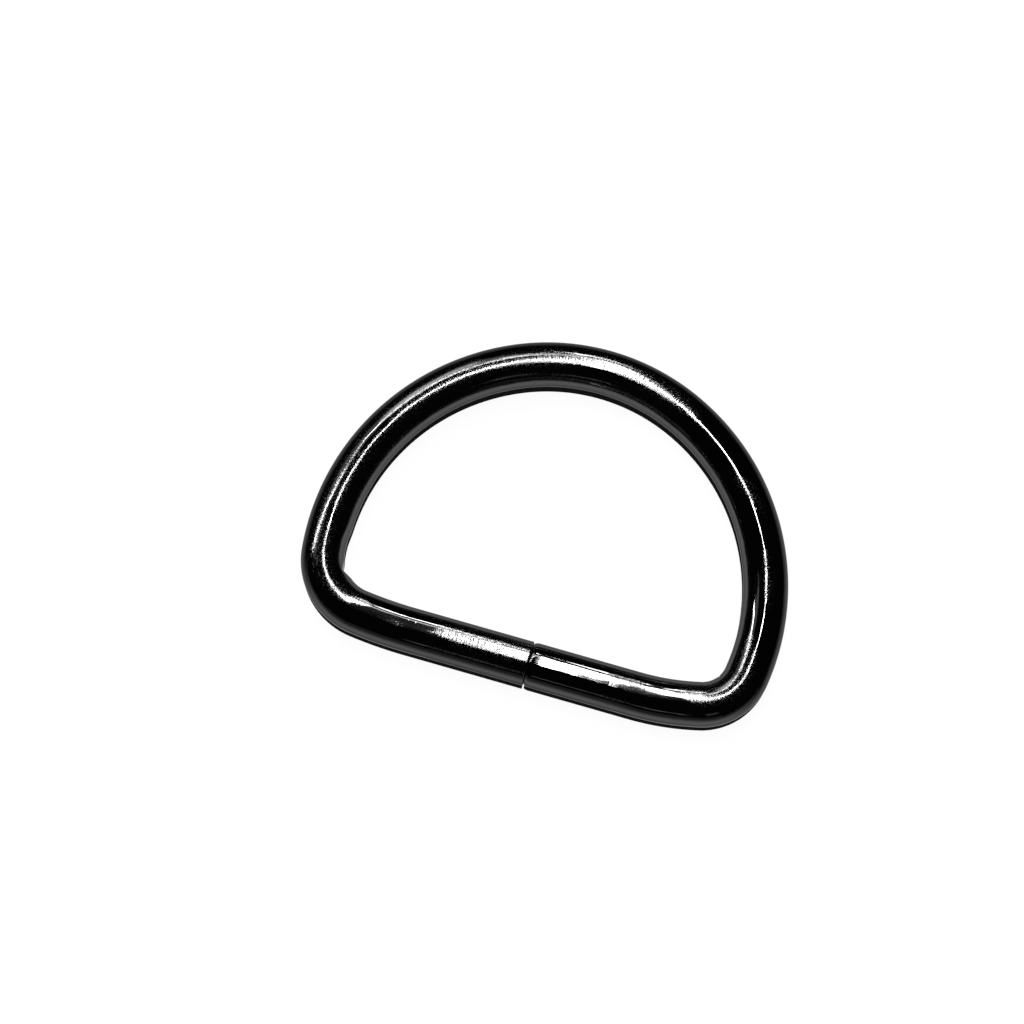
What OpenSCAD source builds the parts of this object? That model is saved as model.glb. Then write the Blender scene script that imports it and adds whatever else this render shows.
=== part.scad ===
// D ring bent from one length of round wire, lying flat.
// The straight bar runs along X, the bow rises towards +Y, and the ring rests on z = 0.
// The origin is on that surface, under the middle of the ring's outer box.
// All sizes are in millimetres and all angles in degrees.

/* [Wire] */
// Diameter of the wire
wire_d = 3; // [2.4:0.1:3.4]

/* [Bow] */
// Widest inside width of the ring
inside_w = 26.5; // [25:0.5:32]
// Height of the widest place above the centre line of the bar
widest_h = 5.4; // [4.8:0.1:7]
// How far the centre of each side bend lies beyond the middle of the ring
side_beyond = 0.45; // [0.25:0.05:3]
// How much less the radius of the crown bend is than half the ring's width
crown_less = 0.7; // [0.3:0.05:3]

/* [Left corner] */
// Radius of the soft bend at the bar's left end, at the middle of the wire
left_soft_r = 30; // [22:1:38]
// Angle that the soft bend at the bar's left end turns through
left_soft_turn = 7; // [4:1:12]
// Radius of the tight bend in the left corner, at the middle of the wire
left_tight_r = 3.8; // [3:0.1:4.4]
// Depth of the crease inside the left corner
left_crease = 0.29; // [0.05:0.01:0.34]

/* [Right corner] */
// Radius of the soft bend at the bar's right end, at the middle of the wire
right_soft_r = 18; // [14:1:24]
// Angle that the soft bend at the bar's right end turns through
right_soft_turn = 14; // [8:1:18]
// Radius of the tight bend in the right corner, at the middle of the wire
right_tight_r = 3.2; // [2.8:0.1:4.4]
// Depth of the crease inside the right corner
right_crease = 0.07; // [0.05:0.01:0.24]

/* [Creases] */
// Direction of both creases, below a level line through the tight bend's centre
crease_dir = 35; // [30:1:50]
// Angle between the two flat flanks of a crease
crease_open = 120; // [90:5:130]

/* [Joint] */
// Distance of the joint to the right of the bar's middle
joint_x = 0.55; // [-2:0.05:2]
// Open gap between the two wire ends
joint_gap = 0.1; // [0.05:0.05:1]
// Rounding of the left wire end, cut off clean
left_end_r = 0.1; // [0.05:0.05:0.6]
// Rounding of the right wire end, rolled over by the shears
right_end_r = 0.2; // [0.05:0.05:0.6]

/* [Hidden] */
$fn = 96;

wire_r = wire_d / 2;
half_w = (inside_w + wire_d) / 2;

// Directions from the centre of a bend to the crown and to the bar
up = 90;
down = -90;

// Decimal places that directions and lengths are rounded to
crown_places = 3;
corner_places = 4;

// Lengths and directions that end a stretch of wire are rounded, so that neighbours share them
function rounded(value, places) = round(value * pow(10, places)) / pow(10, places);

// Centre of a bend that runs on smoothly from another bend, in the direction where they meet
function next_centre(centre, r, next_r, dir) = centre + (r - next_r) * [cos(dir), sin(dir)];

// Side bend of the right half: it reaches the ring's full width at widest_h
side_r = half_w + side_beyond;
side_centre = [-side_beyond, widest_h];

// Crown bend: its centre is on the middle of the ring
crown_from = rounded(acos(side_beyond / (side_beyond + crown_less)), crown_places);
crown_r = side_r - side_beyond / cos(crown_from);
crown_centre = next_centre(side_centre, side_r, crown_r, crown_from);

// Height of the wire's centre line at the crown, above that of the bar
ring_h = crown_centre.y + crown_r;

// Moves in a coarse step and a fine one, so that stretches of wire meet without a slip
module place(pos) {
    coarse = [for (p = pos) round(p * 100) / 100];
    translate(coarse)
        translate(pos - coarse)
            children();
}

// Bent stretch of wire about a centre, from one direction to another
module bend(centre, r, from, to) {
    place(centre)
        rotate_extrude(start = from, angle = to - from)
            place([r, 0])
                circle(d = wire_d);
}

// Straight stretch of wire along X that ends at the joint, where its edge is rounded
module straight(joint_end, bend_end, end_r) {
    length = rounded(bend_end - joint_end, corner_places);
    place([bend_end, 0, 0])
        rotate([0, -90, 0])
            rotate_extrude() {
                square([wire_r, length - end_r]);
                square([wire_r - end_r, length]);
                translate([wire_r - end_r, length - end_r])
                    circle(r = end_r);
            }
}

// Crease inside a tight bend: a notch with two flat flanks, cut from top to bottom
module crease(centre, tight_r, depth) {
    bottom_r = tight_r - wire_r + depth;
    flank = bottom_r * cos(crease_open / 2);
    along = flank * cos(crease_open / 2);
    across = flank * sin(crease_open / 2);
    translate([centre.x, centre.y, -wire_d])
        rotate(-crease_dir)
            linear_extrude(2 * wire_d)
                polygon([[0, 0], [bottom_r - along, -across], [bottom_r, 0], [bottom_r - along, across]]);
}

// Half of the ring on the +X side, from the joint to the crown bend
module half_ring(joint_end, end_r, soft_r, soft_turn, tight_r, crease_depth) {
    soft_to = soft_turn + down;
    tight_rise = soft_r - (soft_r - tight_r) * cos(soft_turn) - widest_h;
    side_from = rounded(asin(tight_rise / (side_r - tight_r)), corner_places);
    tight_centre = next_centre(side_centre, side_r, tight_r, side_from);
    // The soft bend takes up what the rounding of side_from leaves, so that it touches the bar
    fit_r = (tight_centre.y - tight_r * cos(soft_turn)) / (1 - cos(soft_turn));
    soft_centre = next_centre(tight_centre, tight_r, fit_r, soft_to);
    difference() {
        union() {
            straight(joint_end, soft_centre.x, end_r);
            bend(soft_centre, fit_r, down, soft_to);
            bend(tight_centre, tight_r, soft_to, side_from);
            bend(side_centre, side_r, side_from, crown_from);
        }
        crease(tight_centre, tight_r, crease_depth);
    }
}

// The whole ring: two halves, the crown bend that joins them, and an open joint in the bar
module ring() {
    color([0.13, 0.13, 0.13])
        translate([0, -ring_h / 2, wire_r]) {
            half_ring(joint_x + joint_gap / 2, right_end_r,
                right_soft_r, right_soft_turn, right_tight_r, right_crease);
            mirror([1, 0, 0])
                half_ring(joint_gap / 2 - joint_x, left_end_r,
                    left_soft_r, left_soft_turn, left_tight_r, left_crease);
            bend(crown_centre, crown_r, crown_from, 2 * up - crown_from);
        }
}

ring();
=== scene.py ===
import bpy
import math
import numpy as np
from mathutils import Matrix, Vector


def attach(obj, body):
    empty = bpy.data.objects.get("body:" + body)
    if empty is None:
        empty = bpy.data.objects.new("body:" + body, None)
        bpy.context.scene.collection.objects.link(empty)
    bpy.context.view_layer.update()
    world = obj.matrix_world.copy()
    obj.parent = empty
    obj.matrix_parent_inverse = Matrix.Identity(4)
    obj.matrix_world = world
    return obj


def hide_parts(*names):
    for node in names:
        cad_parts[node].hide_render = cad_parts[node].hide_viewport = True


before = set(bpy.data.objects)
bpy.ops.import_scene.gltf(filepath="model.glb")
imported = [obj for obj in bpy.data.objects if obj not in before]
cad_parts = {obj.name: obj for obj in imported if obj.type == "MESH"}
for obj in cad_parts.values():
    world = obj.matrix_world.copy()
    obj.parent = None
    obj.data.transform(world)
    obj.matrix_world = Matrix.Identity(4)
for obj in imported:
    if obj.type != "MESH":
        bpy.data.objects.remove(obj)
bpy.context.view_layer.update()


# Camera
# It stands nearly straight above the ring, tilted 12 degrees and turned 16 degrees, as in the
# photograph. Its lens is long, so the ring hardly narrows with distance.
bpy.ops.object.select_all(action="DESELECT")
camera_data = bpy.data.cameras.new("camera")
camera_data.sensor_width = 36.0
camera_data.lens = 123.046875
camera_data.clip_start = 0.01
camera_data.clip_end = 10.0
camera = bpy.data.objects.new("camera", camera_data)
bpy.context.scene.collection.objects.link(camera)
camera_place = (0.009972, -0.047305, 0.229822)
camera_tilt = math.radians(180.0 - 11.985)
camera_roll = math.radians(0.032)
camera_turn = math.radians(-16.117)
camera.matrix_world = (
    Matrix.Translation(camera_place)
    @ (Matrix.Rotation(camera_tilt, 4, "X")
       @ Matrix.Rotation(camera_roll, 4, "Y")
       @ Matrix.Rotation(camera_turn, 4, "Z")).transposed()
    @ Matrix.Diagonal((1.0, -1.0, -1.0, 1.0))
)
bpy.context.scene.camera = camera


# Ring
# One length of 3 mm drawn steel wire, bent round a former into a D and cut off where its ends
# meet in the bar. The section of the wire is spun along each bend and drawn along the bar.
mm = 0.001
wire_r = 1.5 * mm
inside_w = 26.5 * mm
widest_h = 5.4 * mm
side_beyond = 0.45 * mm
crown_less = 0.7 * mm
joint_x = 0.55 * mm
joint_gap = 0.04 * mm
left_end_r = 0.08 * mm
right_end_drop = 0.14 * mm
right_end_long = 0.40 * mm
right_soft_r, right_soft_turn, right_tight_r = 18 * mm, math.radians(14), 3.2 * mm
left_soft_r, left_soft_turn, left_tight_r = 30 * mm, math.radians(7), 3.8 * mm
right_crease = 0.07 * mm
left_crease = 0.29 * mm
crease_dir = math.radians(35)
crease_open = math.radians(120)

half_w = inside_w / 2 + wire_r
side_r = half_w + side_beyond
crown_from = math.acos(side_beyond / (side_beyond + crown_less))
crown_r = side_r - side_beyond / math.cos(crown_from)
crown_y = widest_h + (side_r - crown_r) * math.sin(crown_from)
ring_h = crown_y + crown_r
bar_y = -ring_h / 2
wire_z = wire_r


def corner(soft_r, soft_turn, tight_r):
    """Centres of a right-hand corner's soft and tight bends, and where the tight one ends."""
    rise = soft_r - (soft_r - tight_r) * math.cos(soft_turn) - widest_h
    side_from = math.asin(rise / (side_r - tight_r))
    tight_x = -side_beyond + (side_r - tight_r) * math.cos(side_from)
    tight_y = widest_h + (side_r - tight_r) * math.sin(side_from)
    soft_x = tight_x - (soft_r - tight_r) * math.sin(soft_turn)
    return soft_x, tight_x, tight_y, side_from


right_soft_x, right_tight_x, right_tight_y, right_side_from = corner(
    right_soft_r, right_soft_turn, right_tight_r)
left_soft_x, left_tight_x, left_tight_y, left_side_from = corner(
    left_soft_r, left_soft_turn, left_tight_r)
right_tight_turn = math.pi / 2 - right_soft_turn + right_side_from
left_tight_turn = math.pi / 2 - left_soft_turn + left_side_from
right_tight_steps, right_crease_sections = 56, 5
left_tight_steps, left_crease_sections = 68, 17

# The wire's section starts as a small ring in the middle of its right end, and is drawn outwards
# over that end and on along the bar. The shears rolled this end's edge over, but cut the left end
# clean, so the last step before that end is a very short one, which keeps its edge crisp.
section_points = 96
start_r = 0.05 * mm
crisp = 0.02 * mm
right_end_x = joint_x + joint_gap / 2
left_end_x = joint_x - joint_gap / 2
route = [(0.0, right_end_x, bar_y, 0.0), (right_end_long, right_end_x + right_end_long, bar_y, 0.0)]
bpy.ops.mesh.primitive_circle_add(
    vertices=section_points, radius=start_r, fill_type="NOTHING",
    location=(right_end_x, bar_y, wire_z), rotation=(0, math.pi / 2, 0))
ring = bpy.context.object
ring.name = "ring_wire"
ring.data.name = "ring_wire"
bpy.ops.object.transform_apply(location=True, rotation=True, scale=True)
bpy.ops.object.mode_set(mode="EDIT")
bpy.ops.mesh.select_mode(type="VERT")
bpy.ops.mesh.select_all(action="SELECT")


def draw_end(outline):
    """Draws the open end of the wire through places along the bar, with a radius at each."""
    for (from_x, from_r), (to_x, to_r) in zip(outline, outline[1:]):
        bpy.ops.mesh.extrude_region_move(TRANSFORM_OT_translate={"value": (to_x - from_x, 0, 0)})
        bpy.ops.transform.resize(
            value=(1, to_r / from_r, to_r / from_r), center_override=(to_x, bar_y, wire_z))


def draw_along_bar(to_x, steps):
    """Draws the open end of the wire straight along the bar, and notes the way it went."""
    along, from_x, _, heading = route[-1]
    length = to_x - from_x
    for step in range(1, steps + 1):
        route.append((along + length * step / steps, from_x + length * step / steps, bar_y, heading))
        bpy.ops.mesh.extrude_region_move(TRANSFORM_OT_translate={"value": (length / steps, 0, 0)})


def bend_on(x, y, turn, steps):
    """Bends the open end of the wire on, about a centre above the bar, and notes the way it went."""
    along, from_x, from_y, heading = route[-1]
    radius = math.hypot(from_x - x, from_y - bar_y - y)
    for step in range(1, steps + 1):
        angle = heading + turn * step / steps
        route.append((along + radius * turn * step / steps,
                      x + radius * math.sin(angle), bar_y + y - radius * math.cos(angle), angle))
    bpy.ops.mesh.spin(steps=steps, angle=-turn, center=(x, bar_y + y, 0), axis=(0, 0, 1))


rolled = [math.pi / 2 * step / 10 for step in range(11)]
draw_end([(right_end_x, start_r), (right_end_x, wire_r / 2)] + [
    (right_end_x + right_end_long * (1 - math.cos(part)), wire_r - right_end_drop * (1 - math.sin(part)))
    for part in rolled])
draw_along_bar(right_soft_x, 14)
bend_on(right_soft_x, right_soft_r, right_soft_turn, 20)
bend_on(right_tight_x, right_tight_y, right_tight_turn, right_tight_steps)
bend_on(-side_beyond, widest_h, crown_from - right_side_from, 84)
bend_on(0, crown_y, math.pi - 2 * crown_from, 50)
bend_on(side_beyond, widest_h, crown_from - left_side_from, 84)
bend_on(-left_tight_x, left_tight_y, left_tight_turn, left_tight_steps)
bend_on(-left_soft_x, left_soft_r, left_soft_turn, 20)
draw_along_bar(left_end_x - left_end_r - crisp, 16)
draw_along_bar(left_end_x - left_end_r, 1)
draw_end([
    (left_end_x - left_end_r * (1 - math.sin(part)), wire_r - left_end_r * (1 - math.cos(part)))
    for part in rolled[::2]] + [(left_end_x, wire_r / 2), (left_end_x, start_r)])
route.append((route[-1][0] + left_end_r, left_end_x, bar_y, route[-1][3]))

# Both ends are closed, the mesh is made whole, and its faces are turned outwards
bpy.ops.mesh.select_all(action="SELECT")
bpy.ops.mesh.remove_doubles(threshold=1e-7)
bpy.ops.mesh.select_all(action="DESELECT")
bpy.ops.mesh.select_non_manifold()
bpy.ops.mesh.fill_holes(sides=0)
bpy.ops.mesh.select_all(action="SELECT")
bpy.ops.mesh.normals_make_consistent(inside=False)


def select_where(inside):
    """Selects the points for which inside(x, y, z) holds, given arrays of their places."""
    bpy.ops.object.mode_set(mode="OBJECT")
    mesh = ring.data
    place = np.empty(len(mesh.vertices) * 3)
    mesh.vertices.foreach_get("co", place)
    chosen = inside(*place.reshape(-1, 3).T)
    edges = np.empty(len(mesh.edges) * 2, dtype=int)
    mesh.edges.foreach_get("vertices", edges)
    corners = np.empty(len(mesh.loops), dtype=int)
    mesh.loops.foreach_get("vertex_index", corners)
    starts = np.empty(len(mesh.polygons), dtype=int)
    mesh.polygons.foreach_get("loop_start", starts)
    mesh.vertices.foreach_set("select", chosen)
    mesh.edges.foreach_set("select", chosen[edges.reshape(-1, 2)].all(axis=1))
    mesh.polygons.foreach_set("select", np.logical_and.reduceat(chosen[corners], starts))
    bpy.ops.object.mode_set(mode="EDIT")
    return int(chosen.sum())


# The tight bends folded the inside of the wire into a crease: section by section, the points on
# the inside are flattened onto one of the crease's two flanks, which meet at its bottom. The flanks
# are smoothed where they meet the round of the wire.
crease_blend = 0.15 * mm


def fold(centre_x, centre_y, direction, bottom, section_turn, sections):
    """Folds a crease with its bottom at that distance from the bend's centre."""
    for section in range(-sections, sections + 1):
        off = section_turn * section
        flank = bottom * math.sin(crease_open / 2) / math.cos(abs(off) - math.pi / 2 + crease_open / 2)
        angle = direction + off
        inside = select_where(lambda x, y, z: (
            (np.hypot(x - centre_x, y - centre_y) < flank)
            & (abs(np.angle(np.exp(1j * (np.arctan2(y - centre_y, x - centre_x) - angle))))
               < section_turn / 2)))
        if inside:
            bpy.ops.transform.resize(value=(0, 0, 1), center_override=(
                centre_x + flank * math.cos(angle), centre_y + flank * math.sin(angle), wire_z))
    select_where(lambda x, y, z: (
        (np.hypot(x - centre_x, y - centre_y) < bottom + crease_blend)
        & (abs(np.angle(np.exp(1j * (np.arctan2(y - centre_y, x - centre_x) - direction))))
           < section_turn * (sections + 1))))
    bpy.ops.mesh.vertices_smooth(factor=0.5, repeat=1)


fold(-left_tight_x, bar_y + left_tight_y, math.pi + crease_dir, left_tight_r - wire_r + left_crease,
     left_tight_turn / left_tight_steps, left_crease_sections)
fold(right_tight_x, bar_y + right_tight_y, -crease_dir, right_tight_r - wire_r + right_crease,
     right_tight_turn / right_tight_steps, right_crease_sections)

# Above the left crease the inside of the wire is drawn a little thin
thinned_by = 0.10 * mm
thinned_low, thinned_high, thinned_left_of = -7.0 * mm, -5.9 * mm, -12.6 * mm
thinned_reach = 1.3 * mm
thinned_up_down = 0.5 * mm
select_where(lambda x, y, z: (
    (abs(z - wire_z) < thinned_up_down) & (y > thinned_low) & (y < thinned_high) & (x < thinned_left_of)
    & (np.hypot(x - side_beyond, y - bar_y - widest_h) < side_r - thinned_reach)))
bpy.ops.transform.translate(
    value=(-thinned_by, 0, 0), use_proportional_edit=True, use_proportional_connected=True,
    proportional_edit_falloff="SMOOTH", proportional_size=thinned_reach)
bpy.ops.object.mode_set(mode="OBJECT")

# The straightened wire's own coordinates in millimetres: along it, towards the middle, and up
place = np.empty(len(ring.data.vertices) * 3)
ring.data.vertices.foreach_get("co", place)
place = place.reshape(-1, 3)
way = np.array(route)
nearest = np.concatenate([
    ((chunk[:, None, :2] - way[None, :, 1:3]) ** 2).sum(axis=2).argmin(axis=1)
    for chunk in np.array_split(place, 16)])
near = way[nearest]
off_x, off_y = place[:, 0] - near[:, 1], place[:, 1] - near[:, 2]
turned_cos, turned_sin = np.cos(near[:, 3]), np.sin(near[:, 3])
straightened = np.stack([
    near[:, 0] + off_x * turned_cos + off_y * turned_sin,
    off_y * turned_cos - off_x * turned_sin,
    place[:, 2] - wire_z], axis=1) / mm
wire = ring.data.attributes.new("wire", "FLOAT_VECTOR", "POINT")
wire.data.foreach_set("vector", straightened.astype(np.float32).ravel())

# The cut faces inside the joint: matt, and near-black as painted shade in the gap. The bow is left out by
# its y.
in_joint = (abs(place[:, 0] - right_end_x) < 1e-6) | (abs(place[:, 0] - left_end_x) < 1e-6)
cut_face = ring.data.attributes.new("cut_face", "FLOAT", "POINT")
cut_face.data.foreach_set("value", (in_joint & (place[:, 1] < 0)).astype(np.float32))

bpy.ops.object.shade_smooth_by_angle(angle=math.radians(40))
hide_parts("ring")
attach(ring, "root")

# Black nickel plating, near-black and mirror-like. The draw lines of the wire show through it, and
# it has a fine orange peel, a few small pits, and dull speckled stretches where the tools that bent
# the ring rubbed the wire.
plating = bpy.data.materials.new("black_nickel_plating")
plating.use_nodes = True
nodes, links = plating.node_tree.nodes, plating.node_tree.links
nodes.clear()


def node(kind, x, y, **settings):
    """Adds a node of that kind to the sheet of nodes in hand, at a place on it."""
    made = nodes.new("ShaderNode" + kind)
    made.location = (x, y)
    for name, value in settings.items():
        setattr(made, name, value)
    return made


def noise(x, y, along, across, detail, roughness):
    """Noise on the straightened wire, in features per millimetre along it and across it."""
    stretch = node("VectorMath", x, y, operation="MULTIPLY")
    stretch.inputs[1].default_value = (along, across, across)
    links.new(wire_place.outputs["Vector"], stretch.inputs[0])
    made = node("TexNoise", x + 200, y, noise_dimensions="3D")
    made.inputs["Scale"].default_value = 1.0
    made.inputs["Detail"].default_value = detail
    made.inputs["Roughness"].default_value = roughness
    links.new(stretch.outputs[0], made.inputs["Vector"])
    return made.outputs["Fac"]


def sums(operation, x, y, first, second=0.0):
    """Works out one value from two, from a value and a number, or from one value alone."""
    made = node("Math", x, y, operation=operation)
    for socket, value in zip(made.inputs, (first, second)):
        if isinstance(value, (int, float)):
            socket.default_value = value
        else:
            links.new(value, socket)
    return made.outputs[0]


def ranged(x, y, value, low, high, to_low, to_high):
    """Maps a value from one range to another, and holds it there."""
    made = node("MapRange", x, y, interpolation_type="SMOOTHSTEP")
    for socket, number in zip(list(made.inputs)[1:5], (low, high, to_low, to_high)):
        socket.default_value = number
    links.new(value, made.inputs[0])
    return made.outputs[0]


def set_stops(curve, stops):
    """Gives a colour ramp these grey stops, each a place and a brightness."""
    marks = curve.color_ramp.elements
    marks[0].position, marks[1].position = stops[0][0], stops[-1][0]
    for place_on, _ in stops[1:-1]:
        marks.new(place_on)
    for mark, (_, grey) in zip(marks, stops):
        mark.color = (grey, grey, grey, 1.0)


wire_place = node("Attribute", -2400, 0, attribute_name="wire")
draw_lines = noise(-2100, 1000, 0.3, 6.0, 2.0, 0.6)
waves = noise(-2100, 750, 0.35, 0.9, 1.0, 0.5)
chatter = noise(-2100, 500, 7.0, 1.5, 1.0, 0.5)
peel = noise(-2100, 250, 9.0, 12.0, 3.0, 0.6)
worn_patch = noise(-2100, -250, 0.3, 0.8, 2.0, 0.5)
specks = noise(-2100, -500, 9.0, 12.0, 2.0, 0.5)

# How much the bending tools rubbed the wire, at millimetres along it from the joint's right side,
# from 0 where it stayed bright to 1 where it is dull all over
wire_long = 83.2
rubbed = (
    (0.0, 0.0), (4.5, 0.3), (5.5, 0.6), (7.0, 0.45), (9.0, 0.3), (12.0, 0.7), (14.0, 0.8), (18.0, 0.5),
    (26.0, 0.4), (32.5, 0.4), (35.5, 0.62), (39.0, 0.75), (47.0, 0.7), (60.0, 0.7), (70.0, 0.7),
    (72.5, 0.4), (76.0, 0.3), (77.5, 0.7), (79.0, 0.9), (81.5, 0.95), (82.6, 0.75))
along_wire = node("SeparateXYZ", -2100, 0)
links.new(wire_place.outputs["Vector"], along_wire.inputs[0])
rub = node("ValToRGB", -1700, 0)
set_stops(rub, [(at / wire_long, amount) for at, amount in rubbed])
links.new(sums("DIVIDE", -1900, 0, along_wire.outputs[0], wire_long), rub.inputs[0])
rub_push = sums("MULTIPLY", -1250, 0, sums("SUBTRACT", -1400, 0, rub.outputs["Color"], 0.5), 0.7)
dull = ranged(-900, -150, sums("ADD", -1100, -150, worn_patch, rub_push), 0.44, 0.60, 0.0, 1.0)

# A small pit in one cell of ten
pit_place = node("VectorMath", -2100, -750, operation="MULTIPLY")
pit_place.inputs[1].default_value = (4.0, 5.0, 5.0)
links.new(wire_place.outputs["Vector"], pit_place.inputs[0])
pit_cells = node("TexVoronoi", -1900, -750, voronoi_dimensions="3D", feature="F1")
pit_cells.inputs["Scale"].default_value = 1.0
links.new(pit_place.outputs[0], pit_cells.inputs["Vector"])
pit_pick = node("SeparateXYZ", -1700, -850)
links.new(pit_cells.outputs["Color"], pit_pick.inputs[0])
pit_shape = ranged(-1700, -650, pit_cells.outputs["Distance"], 0.08, 0.28, 1.0, 0.0)
pitted_cell = sums("GREATER_THAN", -1500, -850, pit_pick.outputs[0], 0.9)
pits = sums("MULTIPLY", -1300, -700, pit_shape, pitted_cell)

# The relief in millimetres: every layer but the pits grows where the plating is dull
height = sums("ADD", -300, 900, sums("MULTIPLY", -500, 1000, draw_lines, 0.0025),
              sums("MULTIPLY", -500, 800, waves, 0.012))
chatter_depth = sums("ADD", -700, 550, sums("MULTIPLY", -900, 550, dull, 0.0035), 0.0003)
height = sums("ADD", -150, 800, height, sums("MULTIPLY", -500, 600, chatter, chatter_depth))
peel_depth = sums("ADD", -700, 350, sums("MULTIPLY", -900, 350, dull, 0.0042), 0.0003)
height = sums("ADD", 0, 700, height, sums("MULTIPLY", -500, 400, peel, peel_depth))
height = sums("ADD", 150, 600, height, sums("MULTIPLY", -500, -700, pits, -0.0025))

bump = node("Bump", 350, -200)
bump.inputs["Strength"].default_value = 1.0
bump.inputs["Distance"].default_value = 0.001
links.new(height, bump.inputs["Height"])

# Bare cut steel inside the joint is matt, and made near-black as painted shade in the gap. The dull
# stretches have matt specks
cut_steel_and_gap_shade = node("Attribute", -300, 200, attribute_name="cut_face")
tone = node("Mix", 350, 200, data_type="RGBA")
tone.inputs["A"].default_value = (0.13, 0.13, 0.13, 1.0)
# This near-black for the cut faces is painted shade in the joint's gap
tone.inputs["B"].default_value = (0.02, 0.02, 0.02, 1.0)
links.new(cut_steel_and_gap_shade.outputs["Fac"], tone.inputs["Factor"])
matt_specks = sums("MULTIPLY", -500, -400, ranged(-900, -450, specks, 0.55, 0.65, 0.0, 1.0),
                   sums("MULTIPLY", -700, -400, dull, 0.22))
gloss = sums("ADD", -500, -150, sums("MULTIPLY", -700, -150, dull, 0.03), 0.05)
gloss = sums("ADD", -150, -200, gloss, matt_specks)
gloss = sums("ADD", 150, 0, gloss, sums("MULTIPLY", 0, 100, cut_steel_and_gap_shade.outputs["Fac"], 0.55))

shader = node("BsdfPrincipled", 650, 0)
shader.inputs["Metallic"].default_value = 1.0
shader.inputs["Specular Tint"].default_value = (0.5, 0.5, 0.5, 1.0)
links.new(tone.outputs["Result"], shader.inputs["Base Color"])
links.new(gloss, shader.inputs["Roughness"])
links.new(bump.outputs["Normal"], shader.inputs["Normal"])
finish_out = node("OutputMaterial", 950, 0)
links.new(shader.outputs["BSDF"], finish_out.inputs["Surface"])
ring.data.materials.clear()
ring.data.materials.append(plating)


# Floor
# A plain pale board, lit so evenly that it looks nearly white and has only a faint shade on it. The
# ring lies flat on it, at height zero.
bpy.ops.object.select_all(action="DESELECT")
bpy.ops.mesh.primitive_plane_add(size=3.0, location=(0, 0, 0))
floor = bpy.context.object
floor.name = "floor"
board = bpy.data.materials.new("pale_board")
board.use_nodes = True
nodes, links = board.node_tree.nodes, board.node_tree.links
nodes.clear()

# The board itself, and the board as it is looked at
matt_board = node("BsdfDiffuse", 0, 500)
matt_board.inputs["Color"].default_value = (0.86, 0.86, 0.86, 1.0)
even_light = node("Emission", -200, 100)
even_light.inputs["Strength"].default_value = 1.04
looked_at = node("MixShader", 0, 200)
looked_at.inputs["Fac"].default_value = 0.90
links.new(matt_board.outputs[0], looked_at.inputs[1])
links.new(even_light.outputs[0], looked_at.inputs[2])

# The board as the plating mirrors it. It fades out where it is mirrored at a flat angle: late
# inside the ring, sooner outside it, and last of all in front of the bar.
slant = node("LayerWeight", -1300, -400)
slant.inputs["Blend"].default_value = 0.5
inside_stops = (
    (0.0, 0.6), (0.15, 0.8), (0.3, 0.95), (0.5, 1.0), (0.6, 0.92), (0.68, 0.6), (0.76, 0.15), (0.82, 0.0))
outside_stops = (
    (0.0, 1.0), (0.3, 0.95), (0.5, 0.55), (0.645, 0.3), (0.75, 0.13), (0.83, 0.02), (1.0, 0.0))
front_stops = (
    (0.0, 0.15), (0.12, 0.45), (0.3, 0.9), (0.5, 1.0), (0.6, 0.84), (0.7, 0.58), (0.8, 0.35), (1.0, 0.06))
fades = []
for down, stops in enumerate((inside_stops, outside_stops, front_stops)):
    fade = node("ValToRGB", -1000, -200 - 250 * down)
    set_stops(fade, stops)
    links.new(slant.outputs["Facing"], fade.inputs[0])
    fades.append(fade)
inside_to, outside_from = 12.5 * mm, 14.5 * mm
bar_front, clear_of_bar = -11.8 * mm, -13.0 * mm
board_place = node("TexCoord", -1500, -1000)
from_middle = node("VectorMath", -1300, -1000, operation="LENGTH")
links.new(board_place.outputs["Object"], from_middle.inputs[0])
board_axes = node("SeparateXYZ", -1300, -1200)
links.new(board_place.outputs["Object"], board_axes.inputs[0])
outside = node("Mix", -600, -300, data_type="RGBA")
links.new(ranged(-900, -1000, from_middle.outputs["Value"], inside_to, outside_from, 0.0, 1.0),
          outside.inputs["Factor"])
links.new(fades[0].outputs["Color"], outside.inputs["A"])
links.new(fades[1].outputs["Color"], outside.inputs["B"])
in_front = node("Mix", -400, -400, data_type="RGBA")
links.new(ranged(-900, -1200, board_axes.outputs["Y"], bar_front, clear_of_bar, 0.0, 1.0),
          in_front.inputs["Factor"])
links.new(outside.outputs["Result"], in_front.inputs["A"])
links.new(fades[2].outputs["Color"], in_front.inputs["B"])
mirrored = node("Emission", 0, -200)
mirrored.inputs["Strength"].default_value = 0.68
links.new(in_front.outputs["Result"], mirrored.inputs["Color"])

seen_by = node("LightPath", 0, 800)
by_camera = node("MixShader", 250, 300)
links.new(seen_by.outputs["Is Camera Ray"], by_camera.inputs["Fac"])
links.new(matt_board.outputs[0], by_camera.inputs[1])
links.new(looked_at.outputs[0], by_camera.inputs[2])
by_plating = node("MixShader", 500, 200)
links.new(seen_by.outputs["Is Glossy Ray"], by_plating.inputs["Fac"])
links.new(by_camera.outputs[0], by_plating.inputs[1])
links.new(mirrored.outputs[0], by_plating.inputs[2])
board_out = node("OutputMaterial", 750, 200)
links.new(by_plating.outputs[0], board_out.inputs["Surface"])
floor.data.materials.append(board)


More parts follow.
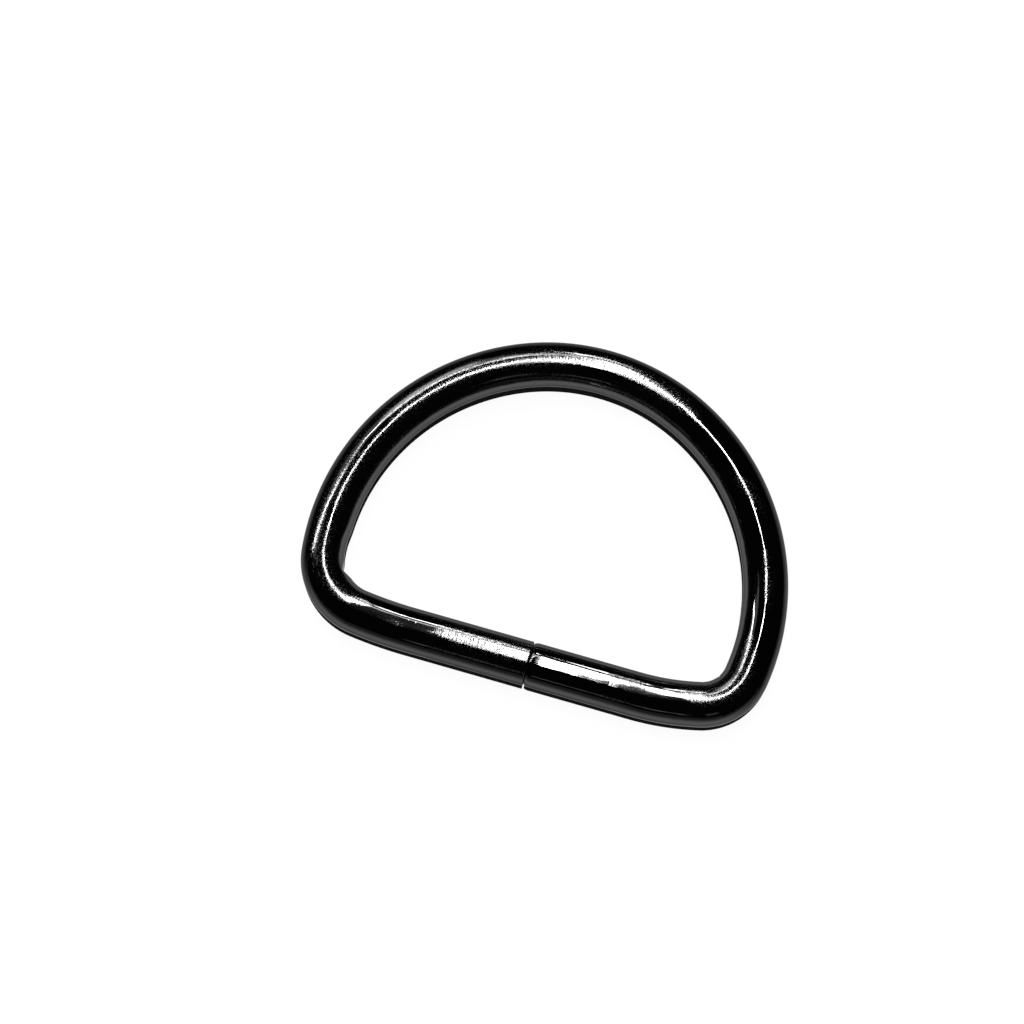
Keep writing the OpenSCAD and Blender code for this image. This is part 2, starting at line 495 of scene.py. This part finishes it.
# Shade under the wire
# Hardly any light gets in between the wire and the board, so a thin dark line shows beside the wire.
# It is the wire's lower half pressed flat onto the board, a little to the front, as the light comes
# from behind. Seen from a low place it gets fainter outwards.
shade_narrower = 0.03 * mm
shade_forward = 0.04 * mm
shade_z = 0.002 * mm
shade = bpy.data.objects.new("shade_under_wire", ring.data.copy())
bpy.context.scene.collection.objects.link(shade)
bpy.ops.object.select_all(action="DESELECT")
shade.select_set(True)
bpy.context.view_layer.objects.active = shade
bpy.ops.object.mode_set(mode="EDIT")
bpy.ops.mesh.select_all(action="SELECT")
bpy.ops.transform.shrink_fatten(value=-shade_narrower)
bpy.ops.mesh.bisect(plane_co=(0, 0, wire_z), plane_no=(0, 0, 1), threshold=1e-7, clear_outer=True)
bpy.ops.mesh.select_all(action="SELECT")
bpy.ops.transform.resize(value=(1, 1, 0), center_override=(0, 0, shade_z))
bpy.ops.transform.translate(value=(0, -shade_forward, 0))
bpy.ops.object.mode_set(mode="OBJECT")
deep_shade = bpy.data.materials.new("deep_shade")
deep_shade.use_nodes = True
nodes, links = deep_shade.node_tree.nodes, deep_shade.node_tree.links
nodes.clear()
wire_place = node("Attribute", -1200, 0, attribute_name="wire")
across_wire = node("SeparateXYZ", -1000, 0)
links.new(wire_place.outputs["Vector"], across_wire.inputs[0])
fainter = ranged(-600, 0, sums("ABSOLUTE", -800, 0, across_wire.outputs[1]), 0.5, 1.5, 0.1, 1.0)
slant = node("LayerWeight", -800, 250)
slant.inputs["Blend"].default_value = 0.5
seen_low = ranged(-600, 250, slant.outputs["Facing"], 0.1, 0.5, 0.0, 1.0)
gap_light = node("MixShader", 0, 0)
links.new(sums("MULTIPLY", -300, 100, fainter, seen_low), gap_light.inputs["Fac"])
faint_light = node("Emission", -300, -100)
faint_light.inputs["Strength"].default_value = 0.006
links.new(faint_light.outputs[0], gap_light.inputs[1])
links.new(node("BsdfTransparent", -300, -300).outputs[0], gap_light.inputs[2])
shade_out = node("OutputMaterial", 250, 0)
links.new(gap_light.outputs[0], shade_out.inputs["Surface"])
shade.data.materials.clear()
shade.data.materials.append(deep_shade)
shade.visible_diffuse = False
shade.visible_glossy = False
shade.visible_shadow = False


# Lights
# Narrow soft boxes stand behind the ring and to its left, where the bright lines on the wire show
# them. Two wide ones there give the haze beside the lines, and three weak ones stand in front.
lamp_distance = 0.5


def soft_box(name, from_zenith, azimuth, half_long, half_wide, roll, brightness):
    """A rectangular light that faces the ring, with its angles in degrees as the ring sees it."""
    polar, turn = math.radians(from_zenith), math.radians(azimuth)
    toward = Vector((math.sin(polar) * math.cos(turn), math.sin(polar) * math.sin(turn), math.cos(polar)))
    outward = Vector((math.cos(polar) * math.cos(turn), math.cos(polar) * math.sin(turn), -math.sin(polar)))
    across = toward.cross(outward)
    angle = math.radians(roll)
    long_axis = outward * math.cos(angle) + across * math.sin(angle)
    wide_axis = toward.cross(long_axis)
    data = bpy.data.lights.new(name, "AREA")
    data.shape = "RECTANGLE"
    data.size = 2 * lamp_distance * math.tan(math.radians(half_long))
    data.size_y = 2 * lamp_distance * math.tan(math.radians(half_wide))
    data.energy = brightness * math.pi * data.size * data.size_y
    light = bpy.data.objects.new(name, data)
    light.matrix_world = Matrix.Translation(toward * lamp_distance) @ Matrix(
        (long_axis, wide_axis, toward)).transposed().to_4x4()
    bpy.context.scene.collection.objects.link(light)


# Name, degrees from the zenith, azimuth, half its length and half its width, roll, brightness
soft_box("top_strip", 21.5, 95.7, 23.5, 0.9, -5.4, 30)
soft_box("top_strip_right", 26.0, 92.1, 18.0, 0.65, -4.5, 30)
soft_box("back_line_left", 54.5, 97.3, 1.7, 2.6, -4.2, 26)
soft_box("back_line_right", 57.5, 90.4, 3.2, 0.9, 0.0, 14)
soft_box("back_band", 40.7, 129.5, 1.6, 15.0, -15.2, 14)
soft_box("back_band_right", 43.0, 105.0, 3.0, 7.0, -15.0, 3.0)
soft_box("back_glow", 52.0, 131.0, 7.0, 9.0, 0.0, 2.2)
soft_box("left_strip", 48.6, 167.2, 13.0, 1.2, 41.3, 24)
soft_box("left_haze", 48.9, 144.4, 13.1, 24.6, 6.2, 0.35)
soft_box("front_line", 66.0, -86.0, 1.5, 9.0, 0.0, 0.4)
soft_box("front_right", 61.0, -60.4, 3.0, 6.0, 0.0, 0.25)
soft_box("front_low", 85.5, -90.0, 5.0, 38.0, 0.0, 0.07)

# The room is pale where it lights the floor or shows behind it, and dark where the plating
# mirrors it, as the studio of the photograph was
world = bpy.data.worlds.new("studio")
bpy.context.scene.world = world
world.use_nodes = True
nodes, links = world.node_tree.nodes, world.node_tree.links
nodes.clear()
seen_by = node("LightPath", -300, 300)
pale = node("Background", -300, 0)
pale.inputs["Color"].default_value = (1, 1, 1, 1)
pale.inputs["Strength"].default_value = 0.5
dark = node("Background", -300, -200)
dark.inputs["Color"].default_value = (1, 1, 1, 1)
dark.inputs["Strength"].default_value = 0.006
room = node("MixShader", 0, 0)
links.new(seen_by.outputs["Is Glossy Ray"], room.inputs["Fac"])
links.new(pale.outputs[0], room.inputs[1])
links.new(dark.outputs[0], room.inputs[2])
room_out = node("OutputWorld", 250, 0)
links.new(room.outputs[0], room_out.inputs["Surface"])

bpy.context.scene.view_settings.view_transform = "Standard"
